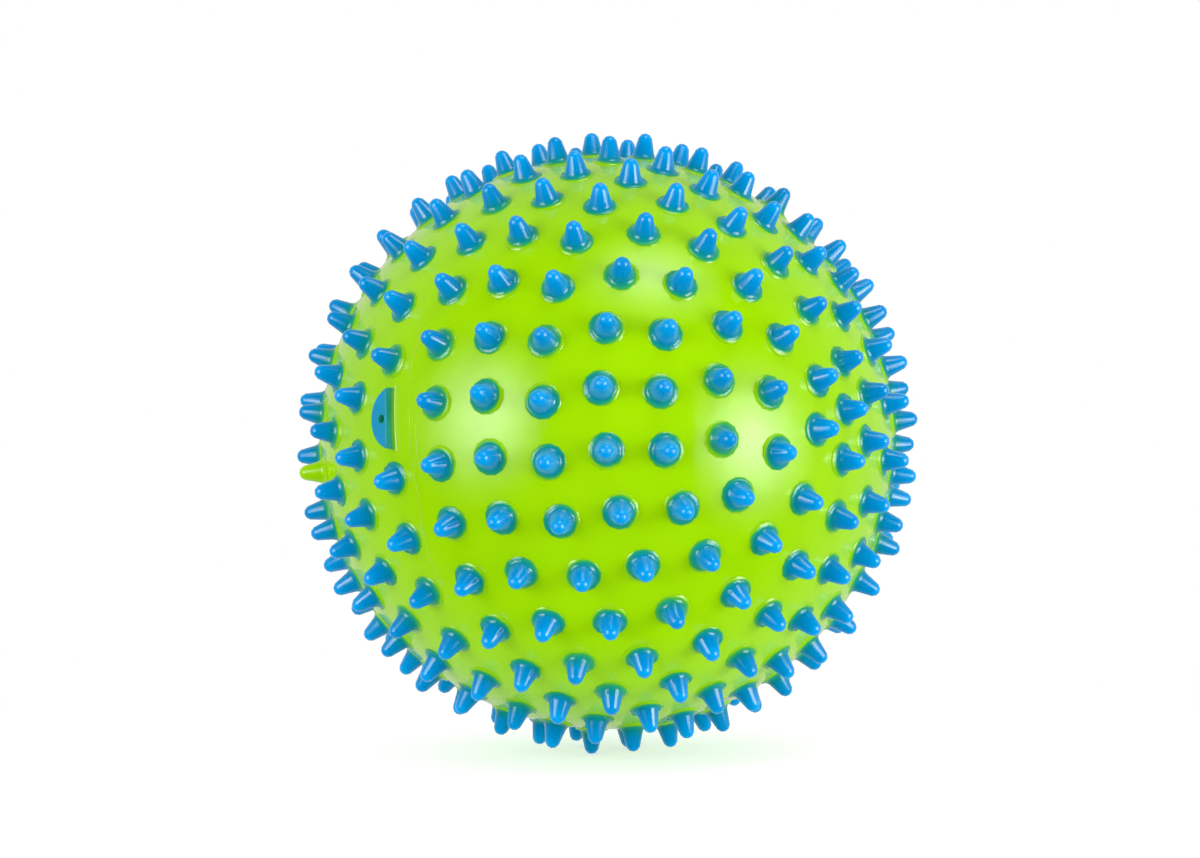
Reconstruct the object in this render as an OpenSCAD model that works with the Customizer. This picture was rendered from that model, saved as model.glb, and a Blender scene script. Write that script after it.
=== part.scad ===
// Spiky sensory ball: a soft hollow ball with rings of bell-shaped nubs
// and a needle valve beside its mould parting seam.
// Origin: centre of the ball. +Z is up as the ball lies on a table.

/* [Ball] */
// Diameter of the ball over its skin, without the nubs
ball_d = 166; // [130:1:220]
// Thickness of the skin
wall = 1.6; // [1:0.1:3]
// Radius of the raised bead along the mould parting seam
seam_bead_r = 0.25; // [0.1:0.05:0.6]

/* [Nubs] */
// Height of a nub above the skin
nub_h = 7.2; // [5:0.1:10]
// Diameter of the rounded tip
nub_tip_d = 4.3; // [3:0.1:5.4]
// Draft of the nub's side, in degrees
nub_draft = 13.5; // [6:0.5:18]
// Radius of the concave flare between side and skin
nub_flare_r = 1.7; // [0.8:0.1:2.2]
// Height of the thin rim at the root of the flare
nub_rim_h = 0.2; // [0.1:0.05:0.4]
// Angle between neighbouring rings of nubs
ring_step_angle = 10.7; // [10.3:0.1:11]
// Angle between the two rings on either side of the seam
seam_ring_angle = 11.6; // [10:0.2:13]

/* [Valve] */
// Diameter of the hole for the inflating needle
needle_hole_d = 2.5; // [1.5:0.1:3]
// Depth of the closed passage in the plug
passage_depth = 8; // [4:0.5:10]
// Diameter of the raised pad round the needle hole
pad_d = 17; // [14:0.5:20]
// Height of the pad above the skin
pad_h = 2.4; // [1:0.1:4]
// Distance from the pad's centre to its straight side
pad_cut = 1.4; // [0:0.1:3]
// Draft of the pad's straight side, in degrees
pad_draft = 12; // [0:1:20]
// Radius of the pad's rounded upper edge
pad_edge_r = 0.5; // [0.2:0.1:0.8]
// Radius of the softer edge above the pad's straight side
pad_crease_r = 0.9; // [0.3:0.1:1]
// Radius of the fine ridge that runs along the straight side's foot
ridge_r = 0.25; // [0.1:0.05:0.4]
// Distance from the straight side's foot to the middle of the ridge
ridge_gap = 0.4; // [0.3:0.1:1]
// How far the ridge runs past the straight side at each end
ridge_over = 0.5; // [0:0.1:1]
// How far the pad's straight side stands past the plug that it covers
pad_overlap = 0.3; // [0.1:0.1:2]
// Distance along the skin from the seam to the pad's straight side
pad_seam_gap = 6.6; // [5:0.1:8]
// Diameter of the self-sealing plug
plug_d = 4.6; // [4:0.1:6]
// Length of the plug
plug_len = 12; // [10:0.5:16]
// Diameter of the plug's head inside the ball
plug_head_d = 8; // [7:0.5:12]
// Thickness of the plug's head
plug_head_t = 2; // [1:0.5:3]
// Thickness of skin round the plug
boss_wall = 3.5; // [2:0.5:5]

/* [Pose] */
// Tilt of the mould axis from upright, in degrees
axis_tilt = 84; // [0:1:180]
// Heading of the mould axis from +X, in degrees
axis_heading = -38.5; // [-180:0.5:180]
// Turn about the mould axis that brings the valve round, in degrees
axis_roll = -95; // [-180:1:180]

/* [Hidden] */
ball_r = ball_d / 2;
needle_r = needle_hole_d / 2;
nub_tip_r = nub_tip_d / 2;
pad_r = pad_d / 2;
plug_r = plug_d / 2;
// Fineness of large, middle and small rounds
big_fn = 240;
mid_fn = 96;
small_fn = 48;

// Rings are counted from the pole to the seam, the same on both halves
ring_counts = [6, 11, 17, 22, 25, 29, 31, 32];
ring_total = len(ring_counts);
// Turn of each ring's first nub from the valve, in degrees
front_turns = [27, 27, 14, 14, 11.5, 12, 9.5, 9.5];
back_turns = [4.5, 5, 20.5, 2, 7.5, 12, 6, 0];
// The pad stands in the place of this ring's first nub
valve_ring = 8;
// This ring's first nub is plain green and part of the skin
plain_ring = 5;

// Polar angle of a ring from its own pole
function ring_angle(i) = 90 - seam_ring_angle / 2
    - (ring_total - i) * ring_step_angle;

// Radius of the nub's straight side at height z
function side_r(z) = nub_tip_r * cos(nub_draft)
    + (nub_h - nub_tip_r + nub_tip_r * sin(nub_draft) - z) * tan(nub_draft);
flare_z = nub_rim_h + nub_flare_r;
nub_root_r = side_r(flare_z) + nub_flare_r / cos(nub_draft);
// The outline runs this far below the skin's top before the skin cuts it
nub_sink = 2 * (ball_r - sqrt(ball_r ^ 2 - nub_root_r ^ 2));

// The valve's axis passes through the needle hole, square to the skin
hole_inset = plug_r + pad_overlap;
valve_angle = 90 - (pad_seam_gap + hole_inset) / ball_r * 180 / PI;
pad_centre_x = hole_inset + pad_cut;
boss_r = plug_r + boss_wall;
boss_depth = plug_len - plug_head_t;
// The ridge lies on a circle round the mould axis, as the seam does
ridge_angle = (pad_seam_gap - ridge_gap) / ball_r * 180 / PI;
ridge_reach = sqrt(pad_r ^ 2 - pad_cut ^ 2) + ridge_over;
ridge_turn = asin(ridge_reach / (ball_r * cos(ridge_angle)));

// Turns the mould frame, whose +Z is the front pole, to how the ball lies
module as_it_lies() {
    rotate([0, axis_tilt, axis_heading]) rotate([0, 0, axis_roll]) children();
}

// Puts children, built on +Z, on the skin at a polar angle and a turn
module on_skin(angle, turn) {
    rotate([0, angle, turn]) translate([0, 0, ball_r]) children();
}

// Half outline of a nub: round tip, drafted side, concave flare and thin rim
module nub_outline() {
    side_top_z = nub_h - nub_tip_r + nub_tip_r * sin(nub_draft);
    side_foot_z = flare_z - nub_flare_r * sin(nub_draft);
    intersection() {
        translate([0, -nub_sink]) square([nub_root_r, nub_sink + nub_h]);
        union() {
            translate([0, nub_h - nub_tip_r]) circle(r = nub_tip_r, $fn = small_fn);
            polygon([
                [0, side_foot_z], [side_r(side_foot_z), side_foot_z],
                [side_r(side_top_z), side_top_z], [0, side_top_z]
            ]);
            difference() {
                translate([0, -nub_sink])
                    square([nub_root_r, nub_sink + side_foot_z]);
                translate([nub_root_r, flare_z])
                    circle(r = nub_flare_r, $fn = small_fn);
            }
        }
    }
}

// One solid nub whose underside is seated on the skin
module nub() {
    rotate_extrude($fn = small_fn) difference() {
        nub_outline();
        translate([0, -ball_r]) circle(r = ball_r, $fn = big_fn);
    }
}

// A ring of nubs; first is 1 where the ring's own first nub is left out
module nub_ring(i, turn, first = 0) {
    count = ring_counts[i - 1];
    for (k = [first : count - 1])
        on_skin(ring_angle(i), turn + k * 360 / count) nub();
}

module ring_front(i) {
    color("#0a9fe0") as_it_lies() nub_ring(i, front_turns[i - 1]);
}

module ring_back(i) {
    first = (i == valve_ring || i == plain_ring) ? 1 : 0;
    color("#0a9fe0") as_it_lies() mirror([0, 0, 1])
        nub_ring(i, back_turns[i - 1], first);
}

module nub_pole_front() {
    color("#0a9fe0") as_it_lies() on_skin(0, 0) nub();
}

module nub_pole_back() {
    color("#0a9fe0") as_it_lies() on_skin(180, 0) nub();
}

// Brings the valve's own frame, +Z out and +X away from the seam, to the skin
module at_valve() {
    mirror([0, 0, 1]) on_skin(valve_angle, 0) mirror([1, 0, 0]) children();
}

// Fine ridge beside the pad's straight side
module foot_ridge() {
    rotate([0, 0, -ridge_turn])
        rotate_extrude(angle = 2 * ridge_turn, $fn = big_fn)
            translate([ball_r * cos(ridge_angle), -ball_r * sin(ridge_angle)])
                circle(r = ridge_r, $fn = small_fn);
}

// Hollow skin with the seam bead, the plain nub, the ridge and the plug's boss
module ball_shell() {
    color("#a8e600") as_it_lies() difference() {
        union() {
            sphere(r = ball_r, $fn = big_fn);
            rotate_extrude($fn = big_fn) translate([ball_r, 0])
                circle(r = seam_bead_r, $fn = small_fn);
            foot_ridge();
            mirror([0, 0, 1])
                on_skin(ring_angle(plain_ring), back_turns[plain_ring - 1])
                    rotate_extrude($fn = small_fn) nub_outline();
        }
        difference() {
            sphere(r = ball_r - wall, $fn = big_fn);
            at_valve() translate([0, 0, -boss_depth])
                cylinder(r = boss_r, h = boss_depth, $fn = mid_fn);
        }
        at_valve() translate([0, 0, -plug_len])
            cylinder(r = plug_r, h = 2 * plug_len, $fn = mid_fn);
    }
}

// Side view of the pad's straight side and of the softer edge above it
module pad_side() {
    crease_z = pad_h - pad_crease_r;
    crease_x = pad_cut + crease_z * tan(pad_draft) + pad_crease_r / cos(pad_draft);
    difference() {
        polygon([
            [pad_cut - pad_d * tan(pad_draft), -pad_d],
            [pad_cut + pad_h * tan(pad_draft), pad_h], [pad_d, pad_h], [pad_d, -pad_d]
        ]);
        difference() {
            polygon([
                [crease_x - pad_crease_r * cos(pad_draft),
                    crease_z + pad_crease_r * sin(pad_draft)],
                [pad_cut, pad_h], [crease_x, pad_h], [crease_x, crease_z]
            ]);
            translate([crease_x, crease_z]) circle(r = pad_crease_r, $fn = small_fn);
        }
    }
}

// Raised D-shaped pad with the needle hole
module valve_pad() {
    color("#0a9fe0") as_it_lies() difference() {
        at_valve() difference() {
            translate([-pad_centre_x, 0, 0]) intersection() {
                translate([0, 0, -pad_h]) rotate_extrude($fn = mid_fn) union() {
                    square([pad_r, 2 * pad_h - pad_edge_r]);
                    square([pad_r - pad_edge_r, 2 * pad_h]);
                    translate([pad_r - pad_edge_r, 2 * pad_h - pad_edge_r])
                        circle(r = pad_edge_r, $fn = small_fn);
                }
                rotate([90, 0, 0]) linear_extrude(height = pad_d, center = true)
                    pad_side();
            }
            translate([0, 0, -pad_h])
                cylinder(r = needle_r, h = 3 * pad_h, $fn = mid_fn);
        }
        sphere(r = ball_r, $fn = big_fn);
    }
}

// Self-sealing plug in the boss, its head inside and its passage closed
module valve_plug() {
    color("#0e776a") as_it_lies() difference() {
        intersection() {
            at_valve() union() {
                translate([0, 0, -plug_len])
                    cylinder(r = plug_r, h = plug_len + pad_h, $fn = mid_fn);
                translate([0, 0, -plug_len])
                    cylinder(d = plug_head_d, h = plug_head_t, $fn = mid_fn);
            }
            sphere(r = ball_r, $fn = big_fn);
        }
        at_valve() translate([0, 0, -passage_depth])
            cylinder(r = needle_r, h = 2 * passage_depth, $fn = mid_fn);
    }
}

ball_shell();
valve_pad();
valve_plug();
nub_pole_front();
ring_front(1);  // nub_ring_front_1
ring_front(2);  // nub_ring_front_2
ring_front(3);  // nub_ring_front_3
ring_front(4);  // nub_ring_front_4
ring_front(5);  // nub_ring_front_5
ring_front(6);  // nub_ring_front_6
ring_front(7);  // nub_ring_front_7
ring_front(8);  // nub_ring_front_8
nub_pole_back();
ring_back(1);  // nub_ring_back_1
ring_back(2);  // nub_ring_back_2
ring_back(3);  // nub_ring_back_3
ring_back(4);  // nub_ring_back_4
ring_back(5);  // nub_ring_back_5
ring_back(6);  // nub_ring_back_6
ring_back(7);  // nub_ring_back_7
ring_back(8);  // nub_ring_back_8
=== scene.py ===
import math
import random

import bmesh
import bpy
import numpy as np
from mathutils import Matrix, Vector, noise


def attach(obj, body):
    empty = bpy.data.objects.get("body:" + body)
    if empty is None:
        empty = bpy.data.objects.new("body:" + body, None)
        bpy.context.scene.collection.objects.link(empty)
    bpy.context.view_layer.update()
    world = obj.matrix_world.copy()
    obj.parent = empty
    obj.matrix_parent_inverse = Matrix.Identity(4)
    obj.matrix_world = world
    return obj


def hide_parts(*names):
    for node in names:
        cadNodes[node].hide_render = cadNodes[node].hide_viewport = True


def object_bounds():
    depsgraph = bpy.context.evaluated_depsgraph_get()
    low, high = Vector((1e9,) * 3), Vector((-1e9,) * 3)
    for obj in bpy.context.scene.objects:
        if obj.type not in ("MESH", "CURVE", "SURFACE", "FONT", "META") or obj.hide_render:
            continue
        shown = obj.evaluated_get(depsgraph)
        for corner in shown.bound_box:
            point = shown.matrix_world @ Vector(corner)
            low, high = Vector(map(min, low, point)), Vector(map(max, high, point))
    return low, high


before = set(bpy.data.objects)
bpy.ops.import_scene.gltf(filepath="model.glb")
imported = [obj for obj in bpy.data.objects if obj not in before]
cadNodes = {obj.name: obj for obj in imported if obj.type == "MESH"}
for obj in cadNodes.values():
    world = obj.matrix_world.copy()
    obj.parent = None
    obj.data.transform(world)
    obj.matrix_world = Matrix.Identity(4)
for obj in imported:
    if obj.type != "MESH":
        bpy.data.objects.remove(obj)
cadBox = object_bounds()
print("frame loaded:", len(cadNodes), "nodes")

ball = {
    "radius": 0.083,
    "wall": 0.0016,
    "axisTilt": 84.0,         # degrees that turn the mould's axis, with the next two
    "axisHeading": -38.5,
    "axisRoll": -95.0,
    "sidesAround": 192,
    "rowsOutside": 144,
    "rowsInside": 40,
    "waveHeight": 0.00010,    # soft skin is never quite round
    "waveLength": 0.028,
}
# The mould frame has its +Z at the front pole; this turns it to how the ball lies
asItLies = (
    Matrix.Rotation(math.radians(ball["axisHeading"]), 4, "Z")
    @ Matrix.Rotation(math.radians(ball["axisTilt"]), 4, "Y")
    @ Matrix.Rotation(math.radians(ball["axisRoll"]), 4, "Z")
)
sharpFrom = 50.0              # degrees between two faces that make a sharp edge
mergeWithin = 1e-7            # metres, closer points become one


# Helpers
def linearColour(hexCode):
    value = hexCode.lstrip("#")
    shares = [int(value[i:i + 2], 16) / 255 for i in (0, 2, 4)]
    return [c / 12.92 if c <= 0.04045 else ((c + 0.055) / 1.055) ** 2.4
            for c in shares] + [1.0]


def addNode(tree, kind, settings=None, links=None):
    node = tree.nodes.new(kind)
    for name, value in (settings or {}).items():
        if isinstance(name, str) and hasattr(node, name):
            setattr(node, name, value)
        else:
            node.inputs[name].default_value = value
    for name, source in (links or {}).items():
        tree.links.new(source, node.inputs[name])
    return node


def newMaterial(name):
    material = bpy.data.materials.new(name)
    material.use_nodes = True
    material.node_tree.nodes.clear()
    return material, material.node_tree


def finishPiece(bm, name, material, replaced=()):
    for edge in bm.edges:
        edge.smooth = edge.calc_face_angle(0) < math.radians(sharpFrom)
    mesh = bpy.data.meshes.new(name)
    bm.to_mesh(mesh)
    bm.free()
    mesh.polygons.foreach_set("use_smooth", [True] * len(mesh.polygons))
    mesh.materials.append(material)
    piece = bpy.data.objects.new(name, mesh)
    bpy.context.scene.collection.objects.link(piece)
    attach(piece, "root")
    if replaced:
        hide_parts(*replaced)
    return piece


def lathe(bm, points, steps, closed=False):
    # Points are (distance from Z, height); the outline is spun about Z
    verts = [bm.verts.new((r, 0, z)) for r, z in points]
    edges = [bm.edges.new(pair) for pair in zip(verts, verts[1:])]
    if closed:
        edges.append(bm.edges.new((verts[-1], verts[0])))
    bmesh.ops.spin(bm, geom=verts + edges, cent=(0, 0, 0), axis=(0, 0, 1),
                   angle=math.tau, steps=steps, use_merge=True)
    bmesh.ops.remove_doubles(bm, verts=bm.verts[:], dist=mergeWithin)
    bmesh.ops.recalc_face_normals(bm, faces=bm.faces[:])


def standOn(direction, turn=0.0, lean=(0.0, 0.0)):
    facing = direction.to_track_quat("Z", "Y").to_matrix().to_4x4()
    return (Matrix.Translation(direction * ball["radius"]) @ facing
            @ Matrix.Rotation(lean[0], 4, "X") @ Matrix.Rotation(lean[1], 4, "Y")
            @ Matrix.Rotation(turn, 4, "Z"))


nub = {
    "height": 0.0072,
    "tipRadius": 0.00215,
    "tipBand": 0.0006,        # how much of a CAD nub's tip marks its place
    "tipReach": 0.005,        # tip points closer than this are one nub's
    "draft": 13.5,
    "flareRadius": 0.0017,
    "flareFoot": 0.0002,
    "rootRadius": 0.004716,
    "rimHeight": 0.00024,
    "rimWidth": 0.0005,
    "sink": 0.0004,
    "sides": 12,
    "tipSteps": (33, 68),     # degrees from the top of the tip
    "flareSteps": (44, 72),   # degrees round the flare, after the draft's
    "lean": 1.0,              # degrees, as a usual deviation
    "growth": 0.02,
    "seed": 4,
}

# Materials
skinLook = {
    "green": "#A9E500",
    "deepGreen": "#9FDC00",
    "roughness": 0.09,
    "milkiness": 0.3,
    "specular": 0.58,
    "ior": 1.53,              # plasticised PVC
    "scatter": 0.0012,        # how far light travels in the skin, metres
    "scatterTint": (1.0, 1.0, 0.6),   # share of that for red, green and blue
    "cloudsPerMetre": 40.0,   # 25 mm
    "wavesPerMetre": 85.0,    # 12 mm
    "waveDepth": 0.0005,
    "waveShare": 0.3,
    "grainPerMetre": 900.0,   # 1.1 mm, coarser than the real grain so that it shows
    "grainShare": 0.03,       # of the waves' depth
}
nubLook = {
    "rampTop": 10.0,
    "ramp": [                 # mm from the foot's edge, and colour
        # The foot's green is darker than the skin's: partly the blue showing through,
        # partly painted shade to hold down the light that the foot's rim catches
        (0.0, "#96D80C"),
        (0.15, "#7CCA20"),
        (0.35, "#46B44E"),
        (0.7, "#1EA07C"),
        (1.4, "#0A92A2"),
        (2.7, "#0490D2"),
        # The stops grow lighter towards the tip: painted light, making the dome brighter
        # than the flank
        (5.8, "#0096E2"),
        (7.6, "#02A2F0"),
    ],
    "outward": 0.5,           # share of the distance along the skin in that
    "roughness": 0.035,
    "milkiness": 0.08,
    "specular": 0.7,
    "uneven": 0.15,           # mm that the edge of the blue wanders
    "unevenPerMetre": 240.0,  # 4 mm
    "unevenFrom": 0.3,        # the noise mostly lies between these
    "unevenTo": 0.7,
    "fullPour": 1.1,          # stretches the blend of a well filled nub
    "poured": 0.6,            # how much less blue some nubs have than others
    "pooled": 0.08,           # how far the blue ran to one side of its cavity
    "fluteHeight": 0.00001,
    "fluteShare": 0.6,
    "flutes": 22,
}
padLook = {
    "ramp": [                 # mm above the skin, and colour
        (0.0, "#9CDA00"),
        (0.6, "#6CC41C"),
        (1.1, "#2CA860"),
        (1.7, "#12988C"),
        (2.4, "#0E92BE"),
        (3.6, "#049EE6"),
    ],
    "hole": "#2CC8AC",        # of the needle hole's wall
    "roughness": 0.34,
    "milkiness": 0.08,
    "specular": 0.25,
}
# Paler greens for the seam's and the pad ridge's thin beads: painted highlight, for the
# lamps' glint along these fine lines
flashHighlightColours = {
    "seam": ("#C8EE6C", "#B8EA3C"),
    "ridge": ("#D8F88C", "#C8F060"),
}
rubberLook = {
    "dark": "#0A6A5E",
    "light": "#128474",
    "roughness": 0.6,
    "ior": 1.52,
    "bloomPerMetre": 1200.0,  # 0.8 mm, coarser than the real bloom so that it shows
    "bloomDepth": 0.0002,
    "bloomShare": 0.2,
}


def fillRamp(ramp, colours):
    stops = ramp.color_ramp.elements
    while len(stops) < len(colours):
        stops.new(0.99)       # the next lines put it in its place
    for stop, (mm, hexCode) in zip(stops, colours):
        stop.position = mm / nubLook["rampTop"]
        stop.color = linearColour(hexCode)


def finishPvc(tree, place, colour, look, relief=None):
    # Waves of the soft skin, and the fine grain of a blasted mould
    waves = addNode(tree, "ShaderNodeTexNoise",
                    {"Scale": skinLook["wavesPerMetre"], "Detail": 3.5},
                    {"Vector": place})
    grain = addNode(tree, "ShaderNodeTexNoise",
                    {"Scale": skinLook["grainPerMetre"], "Detail": 2.0},
                    {"Vector": place})
    uneven = addNode(tree, "ShaderNodeMath",
                     {"operation": "MULTIPLY_ADD", 1: skinLook["grainShare"]},
                     {0: grain.outputs["Fac"], 2: waves.outputs["Fac"]})
    bump = addNode(tree, "ShaderNodeBump",
                   {"Strength": skinLook["waveShare"],
                    "Distance": skinLook["waveDepth"]},
                   {"Height": uneven.outputs["Value"]})
    if relief:
        bump = addNode(tree, "ShaderNodeBump",
                       {"Strength": nubLook["fluteShare"],
                        "Distance": nubLook["fluteHeight"]},
                       {"Height": relief, "Normal": bump.outputs["Normal"]})
    shader = addNode(tree, "ShaderNodeBsdfPrincipled",
                     {"Roughness": look["roughness"], "IOR": skinLook["ior"],
                      "Subsurface Weight": look["milkiness"],
                      "Subsurface Radius": skinLook["scatterTint"],
                      "Subsurface Scale": skinLook["scatter"],
                      "Specular IOR Level": look["specular"]},
                     {"Base Color": colour, "Normal": bump.outputs["Normal"]})
    addNode(tree, "ShaderNodeOutputMaterial", {},
            {"Surface": shader.outputs["BSDF"]})


def softPvcGreen(name, colours):
    # Soft PVC, rotationally moulded: dense pigment that still glows a little
    # from within, under a gloss that the soft body blurs
    material, tree = newMaterial(name)
    place = addNode(tree, "ShaderNodeTexCoord").outputs["Object"]
    clouds = addNode(tree, "ShaderNodeTexNoise",
                     {"Scale": skinLook["cloudsPerMetre"], "Detail": 2.0},
                     {"Vector": place})
    tint = addNode(tree, "ShaderNodeValToRGB", {}, {"Fac": clouds.outputs["Fac"]})
    tint.color_ramp.elements[0].color = linearColour(colours[0])
    tint.color_ramp.elements[1].color = linearColour(colours[1])
    finishPvc(tree, place, tint.outputs["Color"], skinLook)
    return material


def softPvcNub():
    # The same PVC in blue, poured into the nub's cavity first: it thins out
    # into the green where the nub flares
    material, tree = newMaterial("softPvcBlueOnGreen")
    place = addNode(tree, "ShaderNodeTexCoord").outputs["Object"]
    own = addNode(tree, "ShaderNodeAttribute", {"attribute_name": "ownPlace"})
    luckOf = addNode(tree, "ShaderNodeAttribute", {"attribute_name": "ownLuck"})
    parts = addNode(tree, "ShaderNodeSeparateXYZ", {}, {0: own.outputs["Vector"]})
    wander = addNode(tree, "ShaderNodeTexNoise",
                     {"Scale": nubLook["unevenPerMetre"], "Detail": 1.0},
                     {"Vector": place})
    edge = addNode(tree, "ShaderNodeMapRange",
                   {"From Min": nubLook["unevenFrom"], "From Max": nubLook["unevenTo"],
                    "To Min": -nubLook["uneven"] / nubLook["rampTop"],
                    "To Max": nubLook["uneven"] / nubLook["rampTop"]},
                   {"Value": wander.outputs["Fac"]})
    flatPlace = addNode(tree, "ShaderNodeVectorMath",
                        {"operation": "MULTIPLY", 1: (1.0, 1.0, 0.0)},
                        {0: own.outputs["Vector"]})
    away = addNode(tree, "ShaderNodeVectorMath", {"operation": "LENGTH"},
                   {0: flatPlace.outputs["Vector"]})
    inward = addNode(tree, "ShaderNodeMath",
                     {"operation": "MULTIPLY_ADD", 1: -nubLook["outward"],
                      2: nubLook["outward"] * nub["rootRadius"]},
                     {0: away.outputs["Value"]})
    along = addNode(tree, "ShaderNodeMath", {"operation": "ADD"},
                    {0: inward.outputs["Value"], 1: parts.outputs["Z"]})
    height = addNode(tree, "ShaderNodeMath",
                     {"operation": "MULTIPLY_ADD", 1: 1000 / nubLook["rampTop"]},
                     {0: along.outputs["Value"], 2: edge.outputs["Result"]})
    pooled = addNode(tree, "ShaderNodeMath",
                     {"operation": "MULTIPLY_ADD",
                      1: nubLook["pooled"] * 1000 / nubLook["rampTop"]},
                     {0: parts.outputs["X"], 2: height.outputs["Value"]})
    blend = addNode(tree, "ShaderNodeMath", {"operation": "MULTIPLY"},
                    {0: luckOf.outputs["Fac"], 1: pooled.outputs["Value"]})
    ramp = addNode(tree, "ShaderNodeValToRGB", {}, {"Fac": blend.outputs["Value"]})
    fillRamp(ramp, nubLook["ramp"])
    # Drag marks that the nub got when it was pulled from its cavity
    turn = addNode(tree, "ShaderNodeMath", {"operation": "ARCTAN2"},
                   {0: parts.outputs["Y"], 1: parts.outputs["X"]})
    flutes = addNode(tree, "ShaderNodeMath",
                     {"operation": "MULTIPLY", 1: nubLook["flutes"]},
                     {0: turn.outputs["Value"]})
    drag = addNode(tree, "ShaderNodeMath", {"operation": "SINE"},
                   {0: flutes.outputs["Value"]})
    finishPvc(tree, place, ramp.outputs["Color"], nubLook, drag.outputs["Value"])
    return material


greenPvc = softPvcGreen("softPvcGreen", (skinLook["deepGreen"], skinLook["green"]))
# The seam's and the ridge's beads get pale greens as painted highlight
seamHighlightPvc = softPvcGreen("softPvcSeamFlashPaintedHighlight", flashHighlightColours["seam"])
ridgeHighlightPvc = softPvcGreen("softPvcRidgeFlashPaintedHighlight", flashHighlightColours["ridge"])
nubPvc = softPvcNub()
print("skin and nub materials made")

# Camera
camera = {
    "distance": 0.747,        # metres from the middle of the ball
    "lens": 76.83,            # millimetres, as the film
    "film": 36.0,
    "nearest": 0.01,
    "aimX": -0.00204,         # the ball isn't quite in the middle of the picture
    "aimZ": 0.0040,
}
cameraData = bpy.data.cameras.new("camera")
cameraData.lens = camera["lens"]
cameraData.sensor_width = camera["film"]
cameraData.clip_start = camera["nearest"]
cameraObject = bpy.data.objects.new("camera", cameraData)
bpy.context.scene.collection.objects.link(cameraObject)
cameraObject.location = (0, -camera["distance"], 0)
aim = Vector((camera["aimX"], 0, camera["aimZ"])) - cameraObject.location
cameraObject.rotation_euler = aim.to_track_quat("-Z", "Y").to_euler()
bpy.context.scene.camera = cameraObject
print("camera set")

# Nubs
def nubOutline():
    tip, flare, root = nub["tipRadius"], nub["flareRadius"], nub["rootRadius"]
    tipZ, flareZ = nub["height"] - tip, nub["flareFoot"] + flare
    points = [(0, nub["height"])]
    for degrees in nub["tipSteps"]:
        a = math.radians(degrees)
        points.append((tip * math.sin(a), tipZ + tip * math.cos(a)))
    for degrees in (nub["draft"], *nub["flareSteps"]):
        a = math.radians(degrees)
        points.append((root - flare * math.cos(a), flareZ - flare * math.sin(a)))
    points.append((root, nub["rimHeight"]))
    points.append((root + nub["rimWidth"], -nub["sink"]))
    return points


def nubTemplate():
    bm = bmesh.new()
    lathe(bm, nubOutline(), nub["sides"])
    bmesh.ops.holes_fill(bm, edges=[e for e in bm.edges if e.is_boundary], sides=0)
    mesh = bpy.data.meshes.new("nubTemplate")
    bm.to_mesh(mesh)
    bm.free()
    return mesh


def tipDirections(nodeName):
    # The round tips of the CAD node's nubs say where each of them stands
    mesh = cadNodes[nodeName].data
    points = np.empty(len(mesh.vertices) * 3)
    mesh.vertices.foreach_get("co", points)
    points = points.reshape(-1, 3)
    reach = np.linalg.norm(points, axis=1)
    tips = np.unique(points[reach > reach.max() - nub["tipBand"]].round(7), axis=0)
    found = []
    while len(tips):
        near = np.linalg.norm(tips - tips[0], axis=1) < nub["tipReach"]
        found.append(Vector(tips[near].mean(axis=0)).normalized())
        tips = tips[~near]
    return found


def addNub(bm, template, direction, luck):
    ownPlace = bm.verts.layers.float_vector["ownPlace"]
    ownLuck = bm.verts.layers.float["ownLuck"]
    before = set(bm.verts)
    bm.from_mesh(template)
    verts = [v for v in bm.verts if v not in before]
    fate = nubLook["fullPour"] - nubLook["poured"] * luck.random() ** 2
    for v in verts:
        v[ownPlace] = v.co
        v[ownLuck] = fate
    grown = 1 + luck.uniform(-nub["growth"], nub["growth"])
    lean = [math.radians(luck.gauss(0, nub["lean"])) for _ in range(2)]
    place = standOn(direction, luck.uniform(0, math.tau), lean)
    bmesh.ops.transform(bm, matrix=place @ Matrix.Diagonal((1, 1, grown, 1)),
                        verts=verts)


def newNubs():
    bm = bmesh.new()
    bm.verts.layers.float_vector.new("ownPlace")
    bm.verts.layers.float.new("ownLuck")
    return bm


template = nubTemplate()
luck = random.Random(nub["seed"])
nubCount = 0
for nodeName in sorted(n for n in cadNodes if n.startswith("nub_")):
    bm = newNubs()
    for direction in tipDirections(nodeName):
        addNub(bm, template, direction, luck)
        nubCount += 1
    finishPiece(bm, nodeName.replace("nub", "nubs"), nubPvc, [nodeName])
print("nubs:", nubCount)

# Valve
valve = {
    "seamGap": 0.0066,        # along the skin from the seam to the flat side
    "inset": 0.0026,          # from the flat side to the needle hole
    "padRadius": 0.0085,
    "padCut": 0.0014,         # from the arc's centre to the flat side
    "padHeight": 0.0024,
    "padSink": 0.0006,
    "padDraft": 12.0,
    "padFoot": 0.0003,        # lowest row above the skin
    "padEdge": 0.0005,        # rounds the upper edge of the arc
    "edgeSteps": (25, 50, 70, 90),
    "padCrease": 0.0009,      # rounds the upper edge of the flat side
    "footBlue": 1.3,          # where on the ramp its flat side and its face are
    "faceBlue": 3.6,
    "blueFrom": 0.0029,       # from the flat side to the full blue
    "arcPoints": 45,
    "flatPoints": 15,
    "holeRadius": 0.00125,
    "holeShade": 1.08,        # where the hole's colour starts, in its radii
    "plugRadius": 0.0023,
    "bossRadius": 0.0058,
    "bossDepth": 0.010,
    "ridgeLength": 0.0178,    # the thin straight ridge at the pad's foot
    "ridgeGap": 0.0004,
    "ridgeSteps": 28,
    "ridge": [                # across it towards the seam, and height
        (-0.0003, -0.0003), (-0.00022, 0.0003), (-0.0001, 0.0004),
        (0.00004, 0.0004), (0.00014, 0.0003), (0.0002, -0.0003),
    ],
}
valveAngle = math.pi / 2 - (valve["seamGap"] + valve["inset"]) / ball["radius"]
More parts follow.
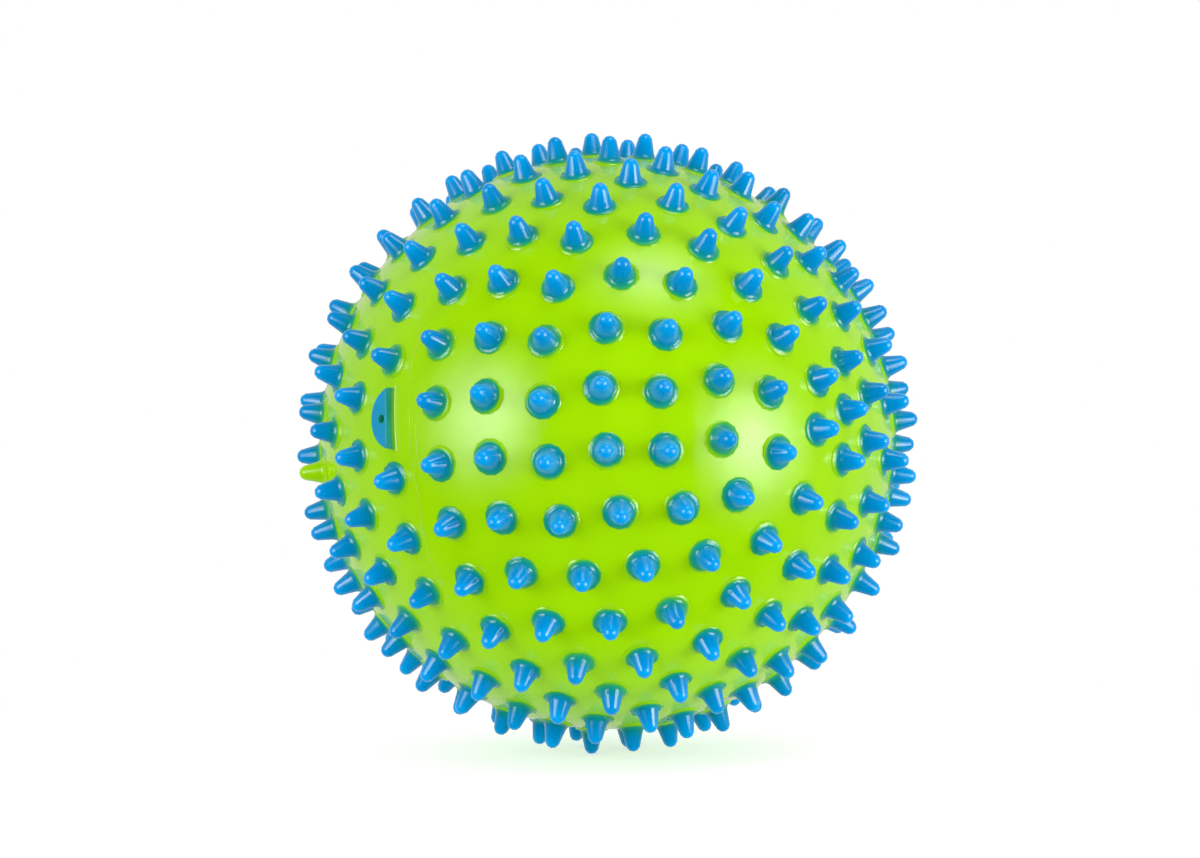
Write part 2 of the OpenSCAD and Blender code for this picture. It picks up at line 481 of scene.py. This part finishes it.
# The valve's own frame: +Z out of the needle hole, +X away from the seam
atValve = (asItLies @ Matrix.Scale(-1, 4, (0, 0, 1))
           @ Matrix.Rotation(valveAngle, 4, "Y")
           @ Matrix.Translation((0, 0, ball["radius"]))
           @ Matrix.Scale(-1, 4, (1, 0, 0)))


def softPvcPad():
    # The pad's blue also thins out towards its flat side
    material, tree = newMaterial("softPvcBluePad")
    place = addNode(tree, "ShaderNodeTexCoord").outputs["Object"]
    reach = addNode(tree, "ShaderNodeVectorMath", {"operation": "LENGTH"}, {0: place})
    height = addNode(tree, "ShaderNodeMapRange",
                     {"clamp": False, "From Min": ball["radius"],
                      "From Max": ball["radius"] + nubLook["rampTop"] / 1000},
                     {"Value": reach.outputs["Value"]})
    away = atValve.to_3x3() @ Vector((1, 0, 0))
    start = away.dot(atValve.to_translation()) - valve["inset"]
    along = addNode(tree, "ShaderNodeVectorMath",
                    {"operation": "DOT_PRODUCT", 1: away}, {0: place})
    side = addNode(tree, "ShaderNodeMapRange",
                   {"From Min": start, "From Max": start + valve["blueFrom"],
                    "To Min": valve["footBlue"] / nubLook["rampTop"],
                    "To Max": valve["faceBlue"] / nubLook["rampTop"]},
                   {"Value": along.outputs["Value"]})
    least = addNode(tree, "ShaderNodeMath", {"operation": "MINIMUM"},
                    {0: height.outputs["Result"], 1: side.outputs["Result"]})
    ramp = addNode(tree, "ShaderNodeValToRGB", {}, {"Fac": least.outputs["Value"]})
    fillRamp(ramp, padLook["ramp"])
    # The hole's wall, where no lamp reaches far in
    axis = atValve.to_3x3() @ Vector((0, 0, 1))
    across = addNode(tree, "ShaderNodeVectorMath",
                     {"operation": "CROSS_PRODUCT", 1: axis}, {0: place})
    off = addNode(tree, "ShaderNodeVectorMath", {"operation": "LENGTH"},
                  {0: across.outputs["Vector"]})
    inHole = addNode(tree, "ShaderNodeMapRange",
                     {"From Min": valve["holeRadius"] * valve["holeShade"],
                      "From Max": valve["holeRadius"]},
                     {"Value": off.outputs["Value"]})
    # A Mix node has its colours at sockets 6 and 7, and gives their mix at 2
    both = addNode(tree, "ShaderNodeMix",
                   {"data_type": "RGBA", 7: linearColour(padLook["hole"])},
                   {0: inHole.outputs["Result"], 6: ramp.outputs["Color"]})
    finishPvc(tree, place, both.outputs[2], padLook)
    return material


def mouldedRubber():
    # Natural rubber, moulded: matt, with a faint bloom on its surface
    material, tree = newMaterial("mouldedRubber")
    place = addNode(tree, "ShaderNodeTexCoord").outputs["Object"]
    bloom = addNode(tree, "ShaderNodeTexNoise",
                    {"Scale": rubberLook["bloomPerMetre"], "Detail": 3.0},
                    {"Vector": place})
    tint = addNode(tree, "ShaderNodeValToRGB", {}, {"Fac": bloom.outputs["Fac"]})
    tint.color_ramp.elements[0].color = linearColour(rubberLook["dark"])
    tint.color_ramp.elements[1].color = linearColour(rubberLook["light"])
    bump = addNode(tree, "ShaderNodeBump",
                   {"Strength": rubberLook["bloomShare"],
                    "Distance": rubberLook["bloomDepth"]},
                   {"Height": bloom.outputs["Fac"]})
    shader = addNode(tree, "ShaderNodeBsdfPrincipled",
                     {"Roughness": rubberLook["roughness"],
                      "IOR": rubberLook["ior"]},
                     {"Base Color": tint.outputs["Color"],
                      "Normal": bump.outputs["Normal"]})
    addNode(tree, "ShaderNodeOutputMaterial", {}, {"Surface": shader.outputs["BSDF"]})
    return material


def padOutline(z):
    # The D at height z above the skin: its arc, then its flat side
    edge, crease, draft = valve["padEdge"], valve["padCrease"], valve["padDraft"]
    slope = math.tan(math.radians(draft))
    creaseZ = valve["padHeight"] - crease
    creaseX = creaseZ * slope + crease / math.cos(math.radians(draft))
    flat = z * slope
    if z > creaseZ + crease * math.sin(math.radians(draft)):
        flat = creaseX - math.sqrt(max(0, crease ** 2 - (z - creaseZ) ** 2))
    above = max(0, z - valve["padHeight"] + edge)
    radius = valve["padRadius"] - edge + math.sqrt(max(0, edge ** 2 - above ** 2))
    flat -= valve["inset"]
    middle = -valve["inset"] - valve["padCut"]
    half = math.acos((flat - middle) / radius)
    points = [(middle + radius * math.cos(a), radius * math.sin(a))
              for a in np.linspace(-half, half, valve["arcPoints"])]
    ends = np.linspace(points[-1][1], points[0][1], valve["flatPoints"] + 2)
    return points + [(flat, y) for y in ends[1:-1]]


def valvePad():
    # Loops of equally many points: up the outside, in over the top, down the hole
    bm = bmesh.new()
    height, edge = valve["padHeight"], valve["padEdge"]
    levels = [-valve["padSink"], valve["padFoot"], height - 2 * edge, height - edge]
    levels += [height - edge + edge * math.sin(math.radians(degrees))
               for degrees in valve["edgeSteps"]]
    loops = [[(x, y, z) for x, y in padOutline(z)] for z in levels]
    top = padOutline(height)
    within = 1 - edge / valve["padRadius"]
    loops.append([(x * within, y * within, height) for x, y in top])
    for z in (height, levels[0]):
        loops.append([(valve["holeRadius"] * x / math.hypot(x, y),
                       valve["holeRadius"] * y / math.hypot(x, y), z) for x, y in top])
    rings = [[bm.verts.new(point) for point in loop] for loop in loops]
    for lower, upper in zip(rings, rings[1:] + rings[:1]):
        for quad in zip(lower, lower[1:] + lower[:1], upper[1:] + upper[:1], upper):
            bm.faces.new(quad)
    bmesh.ops.recalc_face_normals(bm, faces=bm.faces[:])
    bmesh.ops.transform(bm, matrix=atValve, verts=bm.verts[:])
    return bm


def padRidge():
    # A fine ridge spun part of the way round the mould's axis
    bm = bmesh.new()
    angle = (valve["seamGap"] - valve["ridgeGap"]) / ball["radius"]
    reach = valve["ridgeLength"] / ball["radius"]
    verts = []
    for across, height in valve["ridge"]:
        turned = angle - across / ball["radius"]
        out = ball["radius"] + height
        verts.append(bm.verts.new((out * math.cos(turned), 0, -out * math.sin(turned))))
    end = bm.faces.new(verts)
    bmesh.ops.rotate(bm, verts=verts, cent=(0, 0, 0),
                     matrix=Matrix.Rotation(-reach / 2, 3, "Z"))
    bmesh.ops.spin(bm, geom=[end], cent=(0, 0, 0), axis=(0, 0, 1),
                   angle=reach, steps=valve["ridgeSteps"])
    bmesh.ops.recalc_face_normals(bm, faces=bm.faces[:])
    bmesh.ops.transform(bm, matrix=asItLies, verts=bm.verts[:])
    return bm


padPvc = softPvcPad()
finishPiece(valvePad(), "valve_pad_blue", padPvc, ["valve_pad"])
finishPiece(padRidge(), "valve_pad_ridge", ridgeHighlightPvc)
rubber = mouldedRubber()
plugMesh = cadNodes["valve_plug"].data
plugMesh.materials.clear()
plugMesh.materials.append(rubber)
print("valve at", [round(v, 4) for v in atValve.to_translation()])


# Skin
def skinOutline():
    # In the valve's frame: from the far pole up the outside, down through the
    # plug's hole, round its boss and back along the inside
    r, inside = ball["radius"], ball["radius"] - ball["wall"]
    points = []
    rim = math.asin(valve["plugRadius"] / r)
    for i in range(ball["rowsOutside"] + 1):
        a = math.pi + (rim - math.pi) * i / ball["rowsOutside"]
        points.append((r * math.sin(a), r * math.cos(a) - r))
    points[0] = (0, points[0][1])
    points.append((valve["plugRadius"], -valve["bossDepth"]))
    points.append((valve["bossRadius"], -valve["bossDepth"]))
    boss = math.asin(valve["bossRadius"] / inside)
    for i in range(ball["rowsInside"] + 1):
        a = boss + (math.pi - boss) * i / ball["rowsInside"]
        points.append((inside * math.sin(a), inside * math.cos(a) - r))
    points[-1] = (0, points[-1][1])
    return points


def ballSkin():
    bm = newNubs()
    lathe(bm, skinOutline(), ball["sidesAround"])
    bmesh.ops.transform(bm, matrix=atValve, verts=bm.verts[:])
    for v in bm.verts:
        v.co += v.co.normalized() * (
            noise.noise(v.co / ball["waveLength"]) * ball["waveHeight"])
    for direction in tipDirections("ball_shell"):
        addNub(bm, template, direction, luck)
    return bm


seam = {
    "steps": 540,
    "sink": 0.0003,
    "footWidth": 1.5,         # in half widths of the bead
    "shoulder": (0.7, 0.8),   # how far across it is, and how high
    "worn": 0.00004,          # lowers both beads
    "faded": 0.00011,         # sinks them further where none of the height is left
    "patches": 6.0,           # how often they come and go: more is oftener
    "ownPattern": 900.0,      # gives each bead its own places for that
    "usualHeight": 0.7,       # share of the full height that they mostly have
    "change": 1.1,            # how far that comes and goes
    "mostHeight": 1.2,
    "shake": 0.0001,          # small sideways unevenness
    "beads": [                # height, width, least share of the height, place
        (0.0002, 0.0001, 0.5, 0.0),
        (0.00012, 0.0001, 0.0, 0.0021),
    ],
    "wander": [               # turn in degrees, mm to the front pole, shares of
                              # the two beads' heights that are left there
        (-180, -0.4, 0.5, 0.1), (-60, -0.6, 0.4, 0.1), (-34, -0.8, 0.3, 0.1),
        (-24, -1.0, 0.8, 0.3), (-14, 0.5, 1.0, 0.4), (-11, -0.7, 1.1, 0.4),
        (-8, -1.1, 1.1, 0.4), (-3, -0.9, 1.0, 0.6), (0, -0.8, 1.0, 0.8),
        (7, -1.0, 0.9, 1.3), (12, -0.8, 0.9, 1.2), (14, -0.7, 1.2, 0.4),
        (18, -1.2, 1.2, 0.1), (24, -2.3, 0.8, 0.0), (28, -2.7, 1.1, 0.0),
        (30, -2.3, 0.9, 0.0), (33, -1.7, 0.3, 0.0), (42, -1.0, 0.1, 0.0),
        (60, -0.6, 0.3, 0.1), (180, -0.4, 0.5, 0.1),
    ],
}


def seamFlash():
    # Two thin beads where the mould halves met, which come and go
    bm = bmesh.new()
    r = ball["radius"]
    turns, offsets, *shares = zip(*seam["wander"])
    for (high, wide, least, aside), share in zip(seam["beads"], shares):
        before = set(bm.verts)
        foot, side = r - seam["sink"], r + high * seam["shoulder"][1]
        out, half = wide * seam["footWidth"], wide * seam["shoulder"][0]
        lathe(bm, [(foot, -out), (side, -half), (r + high, 0), (side, half),
                   (foot, out)], seam["steps"], closed=True)
        for v in [v for v in bm.verts if v not in before]:
            turn = math.atan2(v.co.y, v.co.x)
            where = Vector((math.cos(turn) * seam["patches"],
                            math.sin(turn) * seam["patches"],
                            aside * seam["ownPattern"]))
            reach = math.hypot(v.co.x, v.co.y)
            if reach > r:
                kept = seam["usualHeight"] + seam["change"] * noise.noise(where)
                kept = max(least, min(seam["mostHeight"], kept))
                left = np.interp(math.degrees(turn), turns, share)
                sunk = seam["worn"] + seam["faded"] * max(0, 1 - left)
                v.co.xy *= (r + (reach - r) * kept * left - sunk) / reach
            v.co.z += (aside + np.interp(math.degrees(turn), turns, offsets) / 1000
                       + seam["shake"] * noise.noise(where * 2))
            v.co *= math.hypot(v.co.x, v.co.y) / v.co.length
    bmesh.ops.recalc_face_normals(bm, faces=bm.faces[:])
    bmesh.ops.transform(bm, matrix=asItLies, verts=bm.verts[:])
    return bm


finishPiece(ballSkin(), "ball_skin", greenPvc, ["ball_shell"])
finishPiece(seamFlash(), "seam_flash", seamHighlightPvc)
bpy.data.meshes.remove(template)
print("skin and seam done")

# Studio
studio = {
    # Azimuth goes from the camera's side to the right. The hot spot's place is a
    # share of the width, the glow reaches to where it has fallen to 1/e, and the
    # radiance is the hot spot's
    "lamps": [
        {"name": "softboxLeft", "azimuth": -60, "elevation": 9, "distance": 1.2,
         "width": 1.7, "height": 1.5, "hotSpot": 0.675, "glowReach": 0.39,
         "radiance": 5.5},
        {"name": "softboxRight", "azimuth": 69, "elevation": 0.5, "distance": 1.2,
         "width": 1.7, "height": 1.5, "hotSpot": 0.33, "glowReach": 0.37,
         "radiance": 7.6},
        {"name": "softboxTop", "azimuth": 28, "elevation": 64, "distance": 1.2,
         "width": 1.1, "height": 0.9, "hotSpot": 0.56, "glowReach": 0.29,
         "radiance": 3.8},
    ],
    "fill": 0.55,
    "fillBehind": 1.0,
    "behindFrom": 0.0,        # towards the back the fill grows between these
    "behindTo": 0.7,
    "glossFrom": -0.15,       # and the white that gloss shows between these
    "glossTo": 1.15,
    "glossMost": 0.76,
    "floorSize": 6.0,
    "floorClear": 0.05,       # metres from the middle where the floor starts to fade
    "floorGone": 0.26,
    "floorColour": "#F0F0F0",
    "floorWhite": 0.5,        # how far the lit table is lifted towards white
    "floorBounce": 0.36,      # and how bright it is to the ball
}


def softboxGlow(lamp, hotSpot, glowReach):
    # The bulb shows through the cloth, whose glow falls off round it as a bell
    lamp.use_nodes = True
    tree = lamp.node_tree
    tree.nodes.clear()
    across = addNode(tree, "ShaderNodeNewGeometry").outputs["Parametric"]
    off = addNode(tree, "ShaderNodeVectorMath",
                  {"operation": "DISTANCE", 1: (hotSpot, 0.5, 0.0)}, {0: across})
    squared = addNode(tree, "ShaderNodeMath", {"operation": "MULTIPLY"},
                      {0: off.outputs["Value"], 1: off.outputs["Value"]})
    glow = addNode(tree, "ShaderNodeMath",
                   {"operation": "POWER", 0: math.exp(-(lamp.size / glowReach) ** 2)},
                   {1: squared.outputs["Value"]})
    light = addNode(tree, "ShaderNodeEmission", {}, {"Strength": glow.outputs["Value"]})
    addNode(tree, "ShaderNodeOutputLight", {}, {"Surface": light.outputs["Emission"]})


def hangSoftbox(name, azimuth, elevation, distance, width, height, hotSpot,
                glowReach, radiance):
    lamp = bpy.data.lights.new(name, "AREA")
    lamp.shape = "RECTANGLE"
    lamp.size = width
    lamp.size_y = height
    lamp.energy = radiance * math.pi * width * height
    softboxGlow(lamp, hotSpot, glowReach)
    lampObject = bpy.data.objects.new(name, lamp)
    bpy.context.scene.collection.objects.link(lampObject)
    a, e = math.radians(azimuth), math.radians(elevation)
    toLamp = Vector((math.sin(a) * math.cos(e), -math.cos(a) * math.cos(e),
                     math.sin(e)))
    lampObject.location = toLamp * distance
    lampObject.rotation_euler = toLamp.to_track_quat("Z", "Y").to_euler()
    lampObject.visible_camera = False


def studioWorld():
    # White to the eye, whitest behind the ball in its gloss, and a plain level
    # all round for fill
    world = bpy.data.worlds.new("studio")
    bpy.context.scene.world = world
    world.use_nodes = True
    tree = world.node_tree
    tree.nodes.clear()
    path = addNode(tree, "ShaderNodeLightPath")
    place = addNode(tree, "ShaderNodeTexCoord").outputs["Generated"]
    parts = addNode(tree, "ShaderNodeSeparateXYZ", {}, {0: place})
    behind = addNode(tree, "ShaderNodeMapRange",
                     {"From Min": studio["glossFrom"], "From Max": studio["glossTo"],
                      "To Max": studio["glossMost"]},
                     {"Value": parts.outputs["Y"]})
    gloss = addNode(tree, "ShaderNodeMath", {"operation": "MULTIPLY"},
                    {0: path.outputs["Is Glossy Ray"], 1: behind.outputs["Result"]})
    seen = addNode(tree, "ShaderNodeMath", {"operation": "MAXIMUM"},
                   {0: path.outputs["Is Camera Ray"],
                    1: path.outputs["Is Transmission Ray"]})
    plainWhite = addNode(tree, "ShaderNodeMath", {"operation": "MAXIMUM"},
                         {0: seen.outputs["Value"], 1: gloss.outputs["Value"]})
    around = addNode(tree, "ShaderNodeMapRange",
                     {"From Min": studio["behindFrom"],
                      "From Max": studio["behindTo"],
                      "To Min": studio["fill"], "To Max": studio["fillBehind"]},
                     {"Value": parts.outputs["Y"]})
    fill = addNode(tree, "ShaderNodeMath", {"operation": "MULTIPLY"},
                   {0: path.outputs["Is Diffuse Ray"], 1: around.outputs["Result"]})
    strength = addNode(tree, "ShaderNodeMath", {"operation": "MAXIMUM"},
                       {0: plainWhite.outputs["Value"], 1: fill.outputs["Value"]})
    background = addNode(tree, "ShaderNodeBackground", {"Color": (1, 1, 1, 1)},
                         {"Strength": strength.outputs["Value"]})
    addNode(tree, "ShaderNodeOutputWorld", {},
            {"Surface": background.outputs["Background"]})


def studioFloor():
    bm = bmesh.new()
    bmesh.ops.create_grid(bm, x_segments=1, y_segments=1, size=studio["floorSize"] / 2,
                          matrix=Matrix.Translation((0, 0, cadBox[0].z)))
    mesh = bpy.data.meshes.new("floor")
    bm.to_mesh(mesh)
    bm.free()
    floor = bpy.data.objects.new("floor", mesh)
    bpy.context.scene.collection.objects.link(floor)
    material, tree = newMaterial("paperSweep")
    # White paper sweep that runs out into the white behind it
    place = addNode(tree, "ShaderNodeTexCoord").outputs["Object"]
    reach = addNode(tree, "ShaderNodeVectorMath", {"operation": "LENGTH"}, {0: place})
    fade = addNode(tree, "ShaderNodeMapRange",
                   {"interpolation_type": "SMOOTHSTEP",
                    "From Min": studio["floorClear"], "From Max": studio["floorGone"]},
                   {"Value": reach.outputs["Value"]})
    path = addNode(tree, "ShaderNodeLightPath")
    gone = addNode(tree, "ShaderNodeMath", {"operation": "MAXIMUM"},
                   {0: fade.outputs["Result"], 1: path.outputs["Is Glossy Ray"]})
    paper = addNode(tree, "ShaderNodeBsdfDiffuse",
                    {"Color": linearColour(studio["floorColour"])})
    bounce = addNode(tree, "ShaderNodeMath",
                     {"operation": "MULTIPLY", 1: studio["floorBounce"]},
                     {0: path.outputs["Is Diffuse Ray"]})
    lit = addNode(tree, "ShaderNodeMath",
                  {"operation": "MULTIPLY_ADD", 1: studio["floorWhite"]},
                  {0: path.outputs["Is Camera Ray"], 2: bounce.outputs["Value"]})
    white = addNode(tree, "ShaderNodeEmission", {}, {"Strength": lit.outputs["Value"]})
    lifted = addNode(tree, "ShaderNodeAddShader", {},
                     {0: paper.outputs["BSDF"], 1: white.outputs["Emission"]})
    clear = addNode(tree, "ShaderNodeBsdfTransparent")
    both = addNode(tree, "ShaderNodeMixShader", {},
                   {0: gone.outputs["Value"], 1: lifted.outputs["Shader"],
                    2: clear.outputs["BSDF"]})
    addNode(tree, "ShaderNodeOutputMaterial", {}, {"Surface": both.outputs["Shader"]})
    mesh.materials.append(material)


for softbox in studio["lamps"]:
    hangSoftbox(**softbox)
studioWorld()
studioFloor()
bpy.context.scene.view_settings.view_transform = "Standard"
print("studio done")
